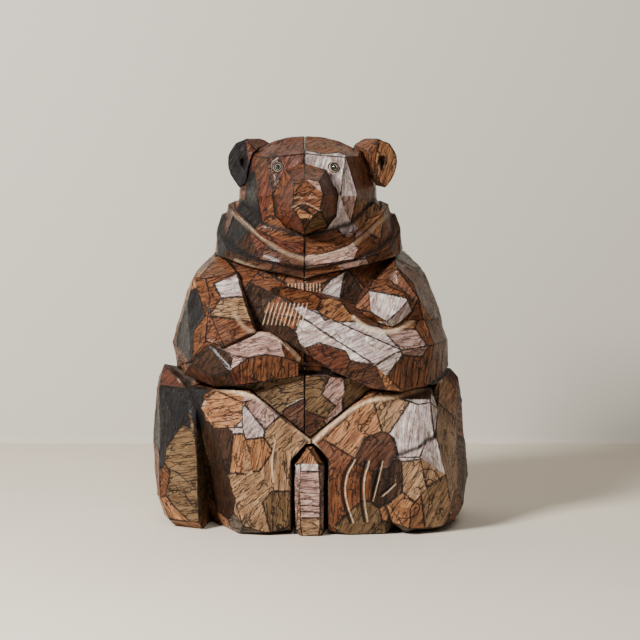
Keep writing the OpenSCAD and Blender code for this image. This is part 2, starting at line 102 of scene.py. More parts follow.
# Stain dabs on the front of each block: (tone, x, z, lie of the grain in degrees), drawn.
# The wood round a dab takes its tone, up to half way to the next one.
# White and lilac dabs are painted highlights and slate dabs are painted shade; the rest are stain.
DABS = {
    "head_right": (
        ("slate", -42, 242, 20), ("slate", -38, 213, 30), ("slate", -45, 200, 60),
        ("red", -28, 215, 70), ("red", -10, 235, 70), ("brown", -28, 234, 40),
        ("red", -13, 246, 60), ("red", -31, 243, 30), ("rust", -13, 188, 20),
        ("rust", -25, 188, 30),
    ),
    "head_left": (
        ("rust", 6, 246, 55), ("rust", 25, 243, 40), ("white", 4, 236, 75),
        ("white", 15, 235, 75), ("white", 24, 226, 80), ("white", 26, 214, 80),
        ("lilac", 25, 203, 80), ("white", 22, 195, 75), ("rust", 34, 228, 80),
        ("rust", 36, 214, 80), ("orange", 36, 201, 60), ("rust", 9, 187, 10),
        ("rust", 45, 206, 50), ("rust", 34, 238, 60),
    ),
    "muzzle": (
        ("red", -8, 227, 30), ("rust", 3, 228, 30), ("red", -17, 216, 30),
        ("slate", -14, 207, 30), ("red", 13, 222, 60), ("rust", -4, 217, 20),
        ("lilac", 4, 220, 20), ("rust", 3, 212, 20), ("rust", 14, 210, 70),
        ("orange", -4, 201, 0), ("red", -16, 198, 20), ("olive", 6, 196, 20),
        ("red", -6, 192, 10),
    ),
    "ear_right": (("slate", -45, 229, 60), ("red", -35, 247, 30)),
    "ear_left": (("orange", 46, 228, 70), ("rust", 41, 246, 30), ("rust", 35, 232, 80)),
    "ruff_right": (
        ("slate", -50, 195, 70), ("red", -30, 184, 40), ("brown", -30, 170, 20),
        ("brown", -13, 168, 20), ("dark", -42, 176, 70), ("red", -12, 178, 20),
    ),
    "ruff_left": (
        ("rust", 12, 180, 20), ("lilac", 8, 173, 12), ("lilac", 22, 176, 15),
        ("rust", 34, 188, 30), ("rust", 14, 166, 10), ("rust", 40, 179, 30),
        ("rust", 50, 190, 50), ("rust", 54, 178, 50), ("orange", 42, 195, 50),
    ),
    "torso_right": (
        ("rust", -30, 162, 10), ("dark", -37, 147, 60), ("rust", -10, 153, 70),
        ("olive", -12, 90, 10), ("brown", -6, 78, 40), ("olive", -24, 86, 30),
        ("dark", -3, 67, 40),
    ),
    "torso_left": (
        ("rust", 4, 157, 10), ("white", 12, 150, 35), ("rust", 40, 156, 40),
        ("dark", 26, 147, 60), ("olive", 4, 92, 10), ("lilac", 13, 88, 40),
        ("olive", 24, 89, 40), ("olive", 7, 81, 40), ("brown", 4, 73, 20),
    ),
    "upper_arm_right": (
        ("rust", -58, 165, 20), ("white", -52, 155, 5), ("tan", -51, 143, 8),
        ("rust", -65, 150, 20), ("slate", -77, 138, 70), ("rust", -53, 129, 25),
        ("rust", -70, 124, 25), ("slate", -82, 122, 70),
    ),
    "upper_arm_left": (
        ("rust", 46, 162, 40), ("rust", 65, 158, 50), ("rust", 76, 144, 20),
        ("orange", 80, 130, 50), ("orange", 84, 148, 50), ("orange", 84, 114, 60),
    ),
    "forearm_right": (
        ("lilac", -30, 117, 15), ("lilac", -46, 119, 15), ("dark", -62, 105, 50),
        ("rust", -30, 104, 85), ("rust", -8, 110, 30),
    ),
    "forearm_left": (
        ("dark", -32, 144, 60), ("rust", -15, 141, 68), ("dark", -23, 127, 65),
        ("rust", -3, 149, 15), ("orange", 14, 142, 35), ("white", 2, 134, 25),
        ("white", 17, 127, 25), ("white", 33, 119, 25), ("white", 48, 114, 25),
        ("lilac", 63, 122, 5), ("rust", 80, 125, 80), ("red", 13, 110, 22),
        ("brown", 32, 100, 22), ("rust", 61, 103, 88), ("rust", 80, 108, 88),
    ),
    "hand_right": (("white", 48, 143, 70), ("rust", 32, 140, 50), ("rust", 50, 154, 30)),
    "haunch_right": (
        ("slate", -88, 82, 75), ("slate", -96, 62, 85), ("slate", -77, 84, 60),
        ("orange", -53, 82, 12), ("white", -39, 71, 50), ("lilac", -29, 78, 55),
        ("tan", -17, 66, 40), ("olive", -85, 49, 10), ("olive", -82, 25, 10),
        ("dark", -61, 55, 75), ("dark", -57, 25, 75), ("orange", -37, 52, 80),
        ("tan", -37, 30, 40), ("tan", -20, 40, 88), ("olive", -20, 16, 88),
        ("tan", -36, 12, 60), ("grey", -44, 0, 5),
    ),
    "haunch_left": (
        ("orange", 22, 62, 50), ("orange", 34, 74, 50), ("rust", 13, 48, 50),
        ("rust", 18, 24, 85), ("tan", 50, 78, 50), ("white", 62, 70, 80),
        ("white", 74, 75, 80), ("white", 66, 57, 80), ("brown", 42, 52, 50),
        ("rust", 31, 32, 85), ("dark", 46, 31, 80), ("tan", 70, 32, 60),
        ("orange", 57, 18, 60), ("tan", 82, 24, 60), ("tan", 88, 66, 60),
        ("orange", 90, 86, 30), ("tan", 92, 44, 60), ("olive", 30, 12, 60),
        ("grey", 56, 0, 3),
    ),
    "tongue": (
        ("orange", 0, 51, 80), ("white", 0, 42, 60), ("lilac", 0, 27, 3), ("tan", 0, 9, 5),
    ),
}

# Tones that the unseen sides and back of the blocks take in turn.
SIDE_TONES = ("brown", "rust", "rust", "orange", "red", "brown", "rust", "orange")

# Carved lines: (kind, width, points (x, z)), drawn. A smooth curve runs through the points.
# A rim stands proud and is pale, partly rubbed wood and partly a painted highlight; a ridge is
# raised half as much and carries only a painted highlight; a groove is cut in and holds dark
# wax, and a cut is a deeper one with a pale edge.
CARVED = {
    "muzzle": (
        ("groove", 0.9, ((-12, 204), (-4, 207), (7, 202))),
        ("ridge", 0.9, ((-12, 205.5), (-4, 208.5), (6, 204))),
        ("groove", 0.8, ((-10, 213), (-7, 215), (-5, 213))),
        ("ridge", 0.9, ((-10, 211.5), (-7, 212), (-5, 211.5))),
        ("groove", 0.8, ((-1, 213), (1, 215), (4, 213))),
        ("ridge", 0.9, ((-1, 211.5), (1, 212), (4, 211.5))),
    ),
    "ruff_right": (
        ("ridge", 2.6, ((-50, 201), (-32, 187), (-16, 177), (-4, 173))),
        ("rim", 0.5, ((-46, 199), (-36, 190), (-28, 184))),
        ("ridge", 2.2, ((-48, 171), (-24, 163), (-4, 160))),
    ),
    "ruff_left": (
        ("ridge", 2.6, ((-4, 173), (10, 175), (25, 180), (50, 199))),
        ("rim", 0.5, ((6, 175), (22, 179))),
        ("ridge", 2.2, ((-4, 160), (16, 161), (34, 165), (54, 173))),
        ("rim", 0.7, ((8, 160.5), (20, 162), (30, 164))),
    ),
    "upper_arm_right": (("ridge", 2.6, ((-48, 138), (-40, 129), (-30, 126))),),
    "forearm_right": (
        ("ridge", 2.6, ((-38, 127), (-22, 124), (-11, 115), (1, 101))),
        ("rim", 0.6, ((-30, 126), (-20, 122), (-13, 116))),
    ),
    "forearm_left": (("rim", 2.2, ((27, 137), (37, 130), (51, 128), (65, 134))),),
    "haunch_right": (
        ("rim", 2.4, ((-84, 94), (-50, 90), (-34, 86), (-16, 75), (0, 59))),
        ("rim", 1.6, ((0, 58), (-7, 53), (-10, 47))),
        ("rim", 0.9, ((-22, 60), (-24, 47), (-23, 34))),
        ("groove", 0.8, ((-96, 38), (-86, 36), (-78, 30))),
        ("groove", 0.8, ((-90, 24), (-82, 24), (-78, 18))),
    ),
    "haunch_left": (
        ("rim", 2.2, ((1, 58), (15, 70), (34, 83), (56, 87), (84, 93))),
        ("rim", 2.2, ((2, 58), (8, 47), (10, 26), (9, 2))),
        ("cut", 1.4, ((26, 48), (21, 38), (20, 25), (25, 8))),
        ("cut", 1.4, ((35, 47), (32, 36), (32, 22), (34, 9))),
        ("cut", 1.0, ((44, 47), (41, 34), (38, 22))),
        ("cut", 1.0, ((52, 33), (44, 25))),
        ("groove", 0.7, ((64, 36), (70, 42), (78, 41), (82, 34))),
        ("groove", 0.7, ((74, 30), (75, 20), (73, 11))),
        ("groove", 0.7, ((51, 16), (58, 24), (68, 20), (66, 13), (56, 11), (51, 16))),
    ),
}

# How far each kind of line is raised and how far it is sunk, as a share of the full amount.
LINE_KINDS = {"rim": (1.0, 0), "ridge": (0.5, 0), "groove": (0, 0.6), "cut": (0, 1.0)}

# Rings cut into the sole, the heel and the chin: (x, z, radius), drawn.
RINGS = {
    "haunch_left": ((75, 34, 2.0), (67, 29, 2.2), (77, 24, 1.8)),
    "haunch_right": ((-88, 25, 2.6),),
    "muzzle": ((-4.5, 201, 4.4),),
}

# Rows of short parallel lines: (kind, block, first x, last x, low z, high z, slant, count).
COMBS = (
    ("rim", "torso_right", -14, -5, 149, 157, 0.0, 5),
    ("rim", "torso_left", -2, 6, 149, 157, 0.0, 5),
    ("rim", "forearm_left", -30, -6, 132, 146, 0.3, 10),
    ("groove", "forearm_left", 6, 32, 99, 104, 0.5, 8),
    ("groove", "forearm_left", 52, 84, 94, 112, 0.1, 9),
    ("groove", "forearm_right", -44, -9, 96, 108, 0.0, 9),
)
# Heights of the cuts across the tongue, and the width of rings, combs and these cuts.
TONGUE_CUTS = (16, 20, 24, 28, 32, 36)
COMB_WIDTH = 0.6


# ---------------------------------------------------------------- settings

def colour(name, description, default):
    """A linear colour that the user can change."""
    return FloatVectorProperty(
        name=name, description=description, subtype="COLOR", size=3, min=0, max=1,
        default=default,
    )


def length(name, description, millimetres):
    """A length that the user can change, in metres."""
    return FloatProperty(
        name=name, description=description, unit="LENGTH", min=0, precision=5,
        default=millimetres / 1000,
    )


class BearFinish(PropertyGroup):
    """Tones of stain, wax and fittings, and of the painted highlights and painted shade."""

    orange: colour("Orange tan", "Warm stain on the lit blocks", (0.325, 0.155, 0.070))
    tan: colour("Tan", "Bare oiled wood", (0.335, 0.208, 0.115))
    olive: colour("Olive tan", "Oiled wood that has greyed", (0.160, 0.100, 0.050))
    rust: colour("Rust brown", "The figure's main stain", (0.165, 0.062, 0.026))
    brown: colour("Brown", "Middle brown stain", (0.088, 0.037, 0.020))
    red: colour("Red brown", "Reddish stain", (0.110, 0.034, 0.018))
    dark: colour("Dark brown", "Deep brown stain", (0.044, 0.021, 0.012))
    # Slate is painted shade on the facets that face away from the light.
    slate: colour("Slate", "Blue grey painted shade", (0.015, 0.0148, 0.017))
    # Lilac and white are painted highlights on the facets that face the light.
    lilac: colour("Lilac", "Painted highlight with a pink cast", (0.44, 0.29, 0.25))
    white: colour("Painted highlight white", "Pale facet painted as a highlight", (0.68, 0.61, 0.585))
    grey: colour("Base grey", "Worn foot of the base", (0.110, 0.080, 0.058))
    # The rim tone is rubbed wood on outer creases and scratches, and a painted highlight on raised
    # rims and ridges.
    rim: colour("Rim wear and painted highlight", "Pale rubbed edge, and painted highlight on raised lines", (0.76, 0.55, 0.36))
    wax: colour("Dark wax", "Wax that lies in the cuts", (0.009, 0.006, 0.005))
    ivory: colour("Ivory", "Eye rings where they are rubbed", (0.66, 0.56, 0.42))
    beech: colour("Beech", "Dowel wood", (0.50, 0.34, 0.19))
    glass: colour("Black glass", "Eye beads", (0.012, 0.012, 0.013))


class BearCarving(PropertyGroup):
    """Sizes of the knife work."""

    step: length("Mesh step", "Longest edge of a carved skin's mesh", 1.6)
    fine_step: length("Fine step", "Longest edge beside a carved line", 0.6)
    hollow: length("Facet hollow", "How far a knife facet dips in its middle", 0.48)
    hollow_run: length("Hollow run", "Distance over which a facet dips", 3.0)
    wander: length("Knife wander", "Height of the slow waves in a facet", 0.28)
    depth: length("Cut depth", "Depth of a carved line", 0.9)
    proud: length("Rim height", "How far a rubbed rim stands proud", 0.5)


class BearStage(PropertyGroup):
    """Camera, backdrop and lights."""

    floor: colour("Floor", "Pale floor", (0.76, 0.69, 0.58))
    paper: colour("Wall", "Pale wall behind the figure", (0.66, 0.635, 0.565))
    distance: length("Camera distance", "From the camera to its target", 1500)
    target: length("Target height", "Height of the camera's target", 122)
    wall: length("Wall distance", "From the figure's middle to the wall", 358)
    elevation: FloatProperty(
        name="Elevation", description="How far the camera looks down",
        subtype="ANGLE", default=math.radians(5),
    )


# ---------------------------------------------------------------- mesh work

def as_array(co):
    """Vectors as the rows of an array."""
    return np.array([[c[0], c[1], c[2]] for c in co])


def merged_mesh(node):
    """A copy of a block's points and triangles, with points that coincide made one."""
    mesh = node.data
    mesh.calc_loop_triangles()
    co = np.empty(len(mesh.vertices) * 3)
    mesh.vertices.foreach_get("co", co)
    tris = np.empty(len(mesh.loop_triangles) * 3, np.int64)
    mesh.loop_triangles.foreach_get("vertices", tris)
    co = co.reshape(-1, 3)
    keys = np.round(co / SAME_POINT).astype(np.int64)
    _, first, back = np.unique(keys, axis=0, return_index=True, return_inverse=True)
    tris = back.reshape(-1)[tris].reshape(-1, 3)
    whole = (tris[:, 0] != tris[:, 1]) & (tris[:, 1] != tris[:, 2]) & (tris[:, 0] != tris[:, 2])
    return co[first], tris[whole]


def face_normals(co, tris):
    """Cross product of two sides, and its length, which is twice the area."""
    cross = np.cross(co[tris[:, 1]] - co[tris[:, 0]], co[tris[:, 2]] - co[tris[:, 0]])
    size = np.linalg.norm(cross, axis=1)
    return cross / np.maximum(size, 1e-20)[:, None], size


def edges_of(tris, count):
    """Each edge once, and for every triangle side the number of its edge."""
    ends = np.stack([tris, np.roll(tris, -1, axis=1)], axis=2).reshape(-1, 2)
    ends.sort(axis=1)
    key, side_edge = np.unique(ends[:, 0] * count + ends[:, 1], return_inverse=True)
    return np.stack([key // count, key % count], axis=1), side_edge.reshape(-1, 3)


def knife_facets(co, tris, bend=math.radians(11), sharp=math.radians(20)):
    """Number of the flat facet that each triangle lies in, and the creases between facets.

    Neighbours that bend less than "bend" share a facet: each takes the lower of their two
    numbers until nothing changes. A crease is an edge between two facets that bends more
    than "sharp", with its facets and whether it is an outer corner.
    """
    normals, _ = face_normals(co, tris)
    edges, side_edge = edges_of(tris, len(co))
    order = np.argsort(side_edge.reshape(-1), kind="stable")
    owner = (order // 3).reshape(-1)
    sorted_edge = side_edge.reshape(-1)[order]
    twin = np.nonzero(sorted_edge[1:] == sorted_edge[:-1])[0]
    left, right, edge = owner[twin], owner[twin + 1], sorted_edge[twin]
    turn = (normals[left] * normals[right]).sum(1)
    flat = turn > math.cos(bend)
    facet = np.arange(len(tris))
    while True:
        low = facet.copy()
        pair = np.minimum(low[left[flat]], low[right[flat]])
        np.minimum.at(low, left[flat], pair)
        np.minimum.at(low, right[flat], pair)
        if (low == facet).all():
            break
        facet = low
    _, facet = np.unique(facet, return_inverse=True)
    facet = facet.reshape(-1)
    split = (facet[left] != facet[right]) & (turn < math.cos(sharp))
    middle = co[tris].mean(1)
    outer = ((middle[right] - middle[left]) * normals[left]).sum(1) < 0
    return facet, edges[edge[split]], facet[left[split]], facet[right[split]], outer[split]


def bisect(co, tris, facet, wanted, rounds=14):
    """Halve long edges until each is shorter than wanted(its middle) asks.

    Only an edge at least 0.75 times the longest of a triangle beside it is halved, and a triangle
    becomes two, three or four, so that the mesh stays closed.
    """
    for _ in range(rounds):
        edges, side_edge = edges_of(tris, len(co))
        span = np.linalg.norm(co[edges[:, 0]] - co[edges[:, 1]], axis=1)
        middle = (co[edges[:, 0]] + co[edges[:, 1]]) / 2
        sides = span[side_edge]
        long_side = np.zeros(len(edges), bool)
        long_side[side_edge[sides >= 0.75 * sides.max(1, keepdims=True)]] = True
        cut = long_side & (span > wanted(middle))
        if not cut.any():
            break
        fresh = np.full(len(edges), -1)
        fresh[cut] = len(co) + np.arange(cut.sum())
        co = np.concatenate([co, middle[cut]])
        mid = fresh[side_edge]
        marks = (mid >= 0).sum(1)
        made, owner = [tris[marks == 0]], [facet[marks == 0]]
        for amount in (1, 2, 3):
            which = marks == amount
            t, m, f = tris[which], mid[which], facet[which]
            lead = np.argmax(m >= 0, 1) if amount == 1 else np.argmax(m < 0, 1) + 1
            turn = (lead[:, None] + np.arange(3)) % 3
            t, m = np.take_along_axis(t, turn, 1), np.take_along_axis(m, turn, 1)
            if amount == 1:
                parts = ((t[:, 0], m[:, 0], t[:, 2]), (m[:, 0], t[:, 1], t[:, 2]))
            elif amount == 2:
                parts = (
                    (m[:, 0], t[:, 1], m[:, 1]), (t[:, 0], m[:, 0], m[:, 1]),
                    (t[:, 0], m[:, 1], t[:, 2]),
                )
            else:
                parts = (
                    (t[:, 0], m[:, 0], m[:, 2]), (m[:, 0], t[:, 1], m[:, 1]),
                    (m[:, 2], m[:, 1], t[:, 2]), (m[:, 0], m[:, 1], m[:, 2]),
                )
            made += [np.stack(p, 1) for p in parts]
            owner += [f] * len(parts)
        tris, facet = np.concatenate(made), np.concatenate(owner)
    return co, tris, facet


def to_segments(points, a, b):
    """Distance of each point from the nearest of the segments a-b, in 2 or 3 dimensions.

    The foot of the perpendicular is kept between the ends, and the squared distance is
    |p - a|^2 - 2 t (p - a).d + t^2 |d|^2, with d = b - a and t the place of the foot.
    """
    d = b - a
    span = np.maximum((d * d).sum(1), 1e-18)[None]
    along = points @ d.T - (a * d).sum(1)[None]
    foot = np.clip(along / span, 0, 1)
    square = (points * points).sum(1)[:, None] - 2 * points @ a.T + (a * a).sum(1)[None]
    square += foot * (foot * span - 2 * along)
    return np.sqrt(np.maximum(square.min(1), 0))


def near_line(co, line, reach):
    """Numbers of the points on the front half within "reach" of a line seen from the front,
    and their distances from it. Points outside the line's own box are passed over."""
    flat = co[:, [0, 2]]
    inside = ((flat > line.min(0) - reach) & (flat < line.max(0) + reach)).all(1)
    picked = np.nonzero(inside & (co[:, 1] < 0))[0]
    gap = to_segments(flat[picked], line[:-1], line[1:])
    close = gap < reach
    return picked[close], gap[close]


def smooth_line(points, per_span=6):
    """Catmull-Rom curve through the points, as a row of short segments."""
    p = np.array(points, float)
    if len(p) == 2:
        return p
    ends = np.concatenate([[2 * p[0] - p[1]], p, [2 * p[-1] - p[-2]]])
    t = np.linspace(0, 1, per_span, endpoint=False)[None, :, None]
    a, b, c, d = (ends[i:len(p) - 1 + i][:, None] for i in range(4))
    curve = 0.5 * (2 * b + (c - a) * t + (2 * a - 5 * b + 4 * c - d) * t ** 2
                   + (3 * b - a - 3 * c + d) * t ** 3)
    return np.concatenate([curve.reshape(-1, 2), p[-1:]])


def carved_lines(name):
    """All the carved lines of a block, as (kind, width, points)."""
    lines = list(CARVED.get(name, ()))
    turn = np.linspace(0, 2 * math.pi, 13)
    for x, z, r in RINGS.get(name, ()):
        circle = np.stack([x + r * np.cos(turn), z + r * np.sin(turn)], 1)
        lines.append(("groove", COMB_WIDTH, circle))
    for kind, block, x0, x1, z0, z1, slant, count in COMBS:
        if block == name:
            for x in np.linspace(x0, x1, count):
                lines.append((kind, COMB_WIDTH, ((x, z0), (x + slant * (z1 - z0), z1))))
    for kind, width, points in [line for line in lines if line[0] == "cut"]:
        lines.append(("rim", 0.6 * width, [(x + 1.4 * width, z) for x, z in points]))
    if name == "tongue":
        lines += [("groove", COMB_WIDTH, ((-10, z), (10, z - 1))) for z in TONGUE_CUTS]
    return [(kind, width * DRAWN, smooth_line(points) * DRAWN) for kind, width, points in lines]


def facet_distances(co, tris, facet, base, creases):
    """Distance of every triangle corner from its own facet's outer and inner creases."""
    edges, left, right, outer = creases
    corners = co[tris]
    found = np.full((2, len(tris), 3), NO_CREASE)
    for number in range(facet.max() + 1):
        mine = facet == number
        bounds = (left == number) | (right == number)
        points = corners[mine].reshape(-1, 3)
        for row, kind in enumerate((outer, ~outer)):
            near = edges[bounds & kind]
            if len(near):
                gap = to_segments(points, base[near[:, 0]], base[near[:, 1]])
                found[row][mine] = gap.reshape(-1, 3)
    return found


def vertex_normals(co, tris):
    """The sum of the cross products of the triangles round each point, scaled to length 1."""
    cross = np.cross(co[tris[:, 1]] - co[tris[:, 0]], co[tris[:, 2]] - co[tris[:, 0]])
    total = np.stack([
        np.bincount(tris.reshape(-1), np.repeat(cross[:, k], 3), len(co)) for k in range(3)
    ], 1)
    return total / np.maximum(np.linalg.norm(total, axis=1), 1e-20)[:, None]


def relax(co, tris, near, passes):
    """Move points near a crease half way to the mean of their neighbours, so corners round."""
    edges, _ = edges_of(tris, len(co))
    a, b = edges[:, 0], edges[:, 1]
    count = np.bincount(a, minlength=len(co)) + np.bincount(b, minlength=len(co))
    for _ in range(passes):
        mean = np.stack([
            np.bincount(a, co[b, k], len(co)) + np.bincount(b, co[a, k], len(co))
            for k in range(3)
        ], 1) / np.maximum(count, 1)[:, None]
        co = co + 0.5 * near[:, None] * (mean - co)
    return co


def slow_waves(co, seed):
    """A third of the sum of six sine waves, 14 to 30 mm long, in seeded directions.

    It lies between -2 and 2, and mostly between -1 and 1.
    """
    rng = np.random.default_rng(seed)
    total = np.zeros(len(co))
    for _ in range(6):
        way = rng.normal(size=3)
        way /= np.linalg.norm(way)
        total += np.sin(co @ way * 2 * math.pi / rng.uniform(0.014, 0.030) + rng.uniform(0, 6.28))
    return total / 3


def dab_points(name, co, tris, rng):
    """Places, tone names and grain lies of a block's dabs.

    A named dab drops on the block's front: of the points within a few millimetres of its
    place it takes the foremost. More are then strewn over the sides and back, each at least
    a dab's width from those before it.
    """
    places, tones, lies = [], [], []
    for tone, x, z, lie in DABS[name]:
        gap = np.hypot(co[:, 0] - x * DRAWN, co[:, 2] - z * DRAWN)
        close = co[gap < max(gap.min() + 1e-6, 0.003)]
        places.append([x * DRAWN, close[:, 1].min(), z * DRAWN])
        tones.append(tone)
        lies.append(math.radians(lie))
    normals, area = face_normals(co, tris)
    spots = co[tris].mean(1)
    away = (normals[:, 1] > -0.35) | (spots[:, 1] > 0)
    chance = np.where(away, area, 0)
    if chance.sum() > 0:
        picks = rng.choice(len(spots), SIDE_TRIES, p=chance / chance.sum())
        for pick in picks:
            if np.linalg.norm(np.array(places) - spots[pick], axis=1).min() > SIDE_GAP:
                places.append(spots[pick])
                tones.append(SIDE_TONES[rng.integers(len(SIDE_TONES))])
                lies.append(rng.uniform(0, math.pi))
    return np.array(places), tones, np.array(lies)


def dab_fields(co, tris, facet, places, tones, small=0.011):
    """The dab of each triangle corner, the dab of each triangle, and how far each corner
    lies from the border between that triangle's dab and its nearest rival of another tone.

    On a small facet the whole facet goes with its middle, so that one cut has one tone.
    The border is the plane half way between the two dabs.
    """
    _, area = face_normals(co, tris)
    count = facet.max() + 1
    total = np.maximum(np.bincount(facet, area, count), 1e-20)
    middle = np.stack([
        np.bincount(facet, area * co[tris].mean(1)[:, k], count) / total for k in range(3)
    ], 1)
    radius = np.sqrt(total / 2 / math.pi)
    pull = np.clip(1.6 - radius / small, 0, 0.9)[facet][:, None, None]
    points = (co[tris] * (1 - pull) + middle[facet][:, None] * pull).reshape(-1, 3)
    gap = (points ** 2).sum(1)[:, None] - 2 * points @ places.T + (places ** 2).sum(1)[None]
    first = gap.argmin(1).reshape(-1, 3)
    gap = gap.reshape(len(tris), 3, len(places))
    rows = np.arange(len(tris))
    own = gap.sum(1).argmin(1)
    home = gap[rows, :, own].copy()
    kin = np.array([[a == b for b in tones] for a in tones])[own]
    rival = np.where(kin, FAR, gap.sum(1)).argmin(1)
    apart = np.linalg.norm(places[own] - places[rival], axis=1)
    border = (gap[rows, :, rival] - home) / (2 * np.maximum(apart, 1e-9))[:, None]
    border[own == rival] = FAR
    return first, own, border / (1 - pull[:, :, 0])


def grain_map(co, tris, facet, own, lies):
    """Flat coordinates in each facet, in metres, turned to the lie of the grain of its dab."""
    normals, area = face_normals(co, tris)
    count = facet.max() + 1
    mean = np.stack([np.bincount(facet, area * normals[:, k], count) for k in range(3)], 1)
    mean /= np.maximum(np.linalg.norm(mean, axis=1), 1e-20)[:, None]
    upright = np.where(np.abs(mean[:, 2:]) < 0.9, [[0, 0, 1.0]], [[0, 1.0, 0]])
    side = np.cross(upright, mean)
    side /= np.maximum(np.linalg.norm(side, axis=1), 1e-20)[:, None]
    up = np.cross(mean, side)
    lie = lies[own][:, None]
    along = np.cos(lie) * side[facet] + np.sin(lie) * up[facet]
    across = -np.sin(lie) * side[facet] + np.cos(lie) * up[facet]
    corners = co[tris]
    u = (corners * along[:, None]).sum(2) + 0.013 * facet[:, None]
    v = (corners * across[:, None]).sum(2) + 0.007 * own[:, None]
    return np.stack([u, v], 2).reshape(-1, 2)


def line_marks(co, normals, lines):
    """How far the carved lines sink and raise each point, from 0 to 1.

    A mark is exp(-(gap / 0.6 width)^2), and fades out where the surface turns from the front.
    """
    sunk, raised = np.zeros(len(co)), np.zeros(len(co))
    facing = np.clip((-normals[:, 1] - 0.15) / 0.2, 0, 1)
    for kind, width, line in lines:
        near, gap = near_line(co, line, 2.5 * width)
        mark = np.exp(-(gap / (width * 0.6)) ** 2) * facing[near]
        for field, share in zip((raised, sunk), LINE_KINDS[kind]):
            field[near] = np.maximum(field[near], mark * share)
    return sunk, raised


def skin_mesh(name, co, tris, fields, grain):
    """A mesh of smooth triangles with a grain map and fields, which are (name, kind, domain,
    key, values)."""
    mesh = bpy.data.meshes.new(name)
    mesh.vertices.add(len(co))
    mesh.vertices.foreach_set("co", co.astype(np.float32).reshape(-1))
    mesh.loops.add(tris.size)
    mesh.loops.foreach_set("vertex_index", tris.astype(np.int32).reshape(-1))
    mesh.polygons.add(len(tris))
    mesh.polygons.foreach_set("loop_start", np.arange(0, tris.size, 3, dtype=np.int32))
    mesh.update(calc_edges=True)
    mesh.polygons.foreach_set("use_smooth", np.ones(len(tris), bool))
    for field, kind, domain, key, values in fields:
        layer = mesh.attributes.new(field, kind, domain)
        layer.data.foreach_set(key, np.ascontiguousarray(values, np.float32).reshape(-1))
    uv = mesh.uv_layers.new(name="grain")
    uv.data.foreach_set("uv", grain.astype(np.float32).reshape(-1))
    mesh.update()
    return mesh


def carve(name):
    """Make a carved skin for one CAD block, with the fields that its material reads."""
    carving = bpy.context.scene.bear_carving
    finish = bpy.context.scene.bear_finish
    rng = np.random.default_rng(SEED + sorted(BLOCK_SLOT).index(name))
    base, base_tris = merged_mesh(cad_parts[name])
    facet, *creases = knife_facets(base, base_tris)
    lines = carved_lines(name)
    step = carving.step * 1

    def wanted(middle):
        """A finer step beside a carved line, the plain step on the front, coarser behind."""
        size = step * (1 + 1.3 * np.clip((middle[:, 1] + 0.035) / 0.05, 0, 1))
        for _, width, line in lines:
            near, _ = near_line(middle, line, 0.0006 + 1.2 * width)
            size[near] = np.minimum(size[near], carving.fine_step + 0.25 * width)
        return size

    co, tris, facet = bisect(base, base_tris, facet, wanted)
    outer, inner = facet_distances(co, tris, facet, base, creases)
    places, tones, lies = dab_points(name, co, tris, rng)
    first, own, border = dab_fields(co, tris, facet, places, tones)

    to_crease = np.minimum(outer, inner)
    crease, edge = np.full(len(co), FAR), np.full(len(co), FAR)
    np.minimum.at(crease, tris.reshape(-1), to_crease.reshape(-1))
    np.minimum.at(edge, tris.reshape(-1), np.minimum(to_crease, np.abs(border)).reshape(-1))
    normals = vertex_normals(co, tris)
    moved = relax(co, tris, np.clip(1 - crease / ROUNDED, 0, 1), 2)
    shift = -carving.hollow * (1 - np.exp(-edge / carving.hollow_run))
    shift += carving.wander * (slow_waves(co, SEED) - 1) * np.clip(edge / WAVES_FADE, 0, 1)
    sunk, raised = line_marks(co, normals, lines)
    shift += carving.proud * raised - carving.depth * sunk
    moved = moved + normals * shift[:, None]
    moved = np.clip(moved, as_array(CAD_BOX)[0], as_array(CAD_BOX)[1])

    palette = np.array([[*getattr(finish, tone), 1.0] for tone in tones])
    fields = [("tone", "FLOAT_COLOR", "CORNER", "color", palette[first.reshape(-1)])]
    for field, values in (("outer", outer), ("inner", inner), ("border", border)):
        fields.append((field, "FLOAT", "CORNER", "value", values))
    for field, values in (("sunk", sunk), ("raised", raised)):
        fields.append((field, "FLOAT", "POINT", "value", values))
    mesh = skin_mesh(name + "_carved", moved, tris, fields, grain_map(co, tris, facet, own, lies))
    piece = bpy.data.objects.new(name + "_carved", mesh)
    bpy.context.scene.collection.objects.link(piece)
    slot = BLOCK_SLOT[name]
    mesh.materials.append(wood_material(slot))
    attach(piece, BODY)
    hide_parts(name)


# ---------------------------------------------------------------- shader groups

class Tree:
    """Short calls for placing and linking shader nodes."""

    def __init__(self, tree):
        self.tree = tree

    def node(self, kind, values=(), **settings):
        made = self.tree.nodes.new(kind)
        for key, value in settings.items():
            setattr(made, key, value)
        for socket, value in dict(values).items():
            self.feed(made.inputs[socket], value)
        return made

    def feed(self, socket, value):
        if isinstance(value, bpy.types.NodeSocket):
            self.tree.links.new(value, socket)
        else:
            socket.default_value = value

    def math(self, operation, a, b=0.0):
        return self.node("ShaderNodeMath", {0: a, 1: b}, operation=operation).outputs[0]

    def ramp(self, value, low, high, start=0.0, end=1.0):
        made = self.node("ShaderNodeMapRange", {
            "Value": value, "From Min": low, "From Max": high, "To Min": start, "To Max": end,
        }, interpolation_type="SMOOTHSTEP")
        return made.outputs[0]

    def noise(self, vector, scale, stretch=(1, 1, 1), detail=4.0, rough=0.55):
        spread = self.node("ShaderNodeVectorMath", {0: vector, 1: stretch}, operation="MULTIPLY")
        made = self.node("ShaderNodeTexNoise", {
            "Vector": spread.outputs[0], "Scale": scale, "Detail": detail, "Roughness": rough,
        })
        return made.outputs["Fac"]

    def mix(self, factor, a, b, blend="MIX"):
        made = self.node("ShaderNodeMix", data_type="RGBA", blend_type=blend)
        self.feed(made.inputs[0], factor)
        self.feed(made.inputs[6], a)
        self.feed(made.inputs[7], b)
        return made.outputs[2]

    def tint(self, factor, shade, by):
        """The shade, multiplied by "by" as far as the factor says."""
        return self.mix(factor, shade, self.mix(1.0, shade, (*by, 1), "MULTIPLY"))


